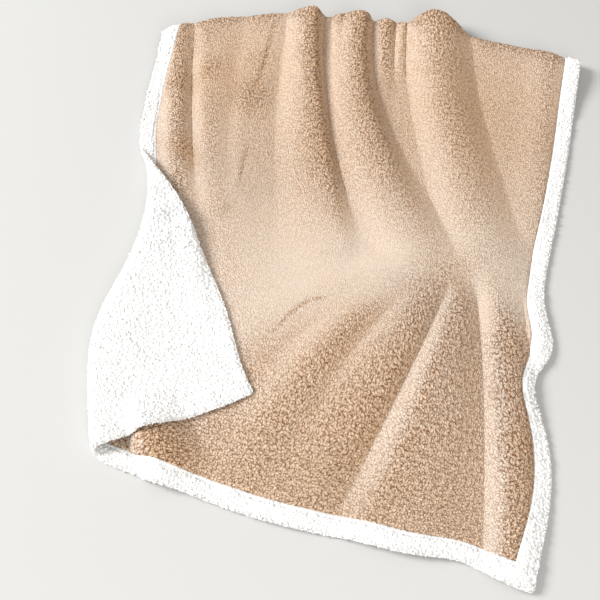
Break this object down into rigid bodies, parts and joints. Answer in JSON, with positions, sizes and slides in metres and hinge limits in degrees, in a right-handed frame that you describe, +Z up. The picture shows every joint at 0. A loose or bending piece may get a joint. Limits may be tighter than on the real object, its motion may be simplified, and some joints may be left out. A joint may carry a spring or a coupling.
{
  "type": "sherpa throw blanket",
  "caption": "Reversible sherpa throw, tan on its face and white on its back and hem, laid out in soft ridges with a corner turned over and an end folded under.",
  "frame": {"origin": "middle of the laid throw's box, on the surface that it lies on", "axes": "+Z up from the surface, +X across the throw, +Y from its near edge to its far end, which is folded under"},
  "size_m": [1.1727, 1.4662, 0.0793],
  "materials": {
    "white_sherpa": "white sherpa, a curly polyester pile",
    "tan_sherpa": "tan sherpa, a curly polyester pile"
  },
  "bodies": {
    "root": {"back_panel": "white_sherpa", "face_panel": "tan_sherpa"}
  },
  "joints": []
}
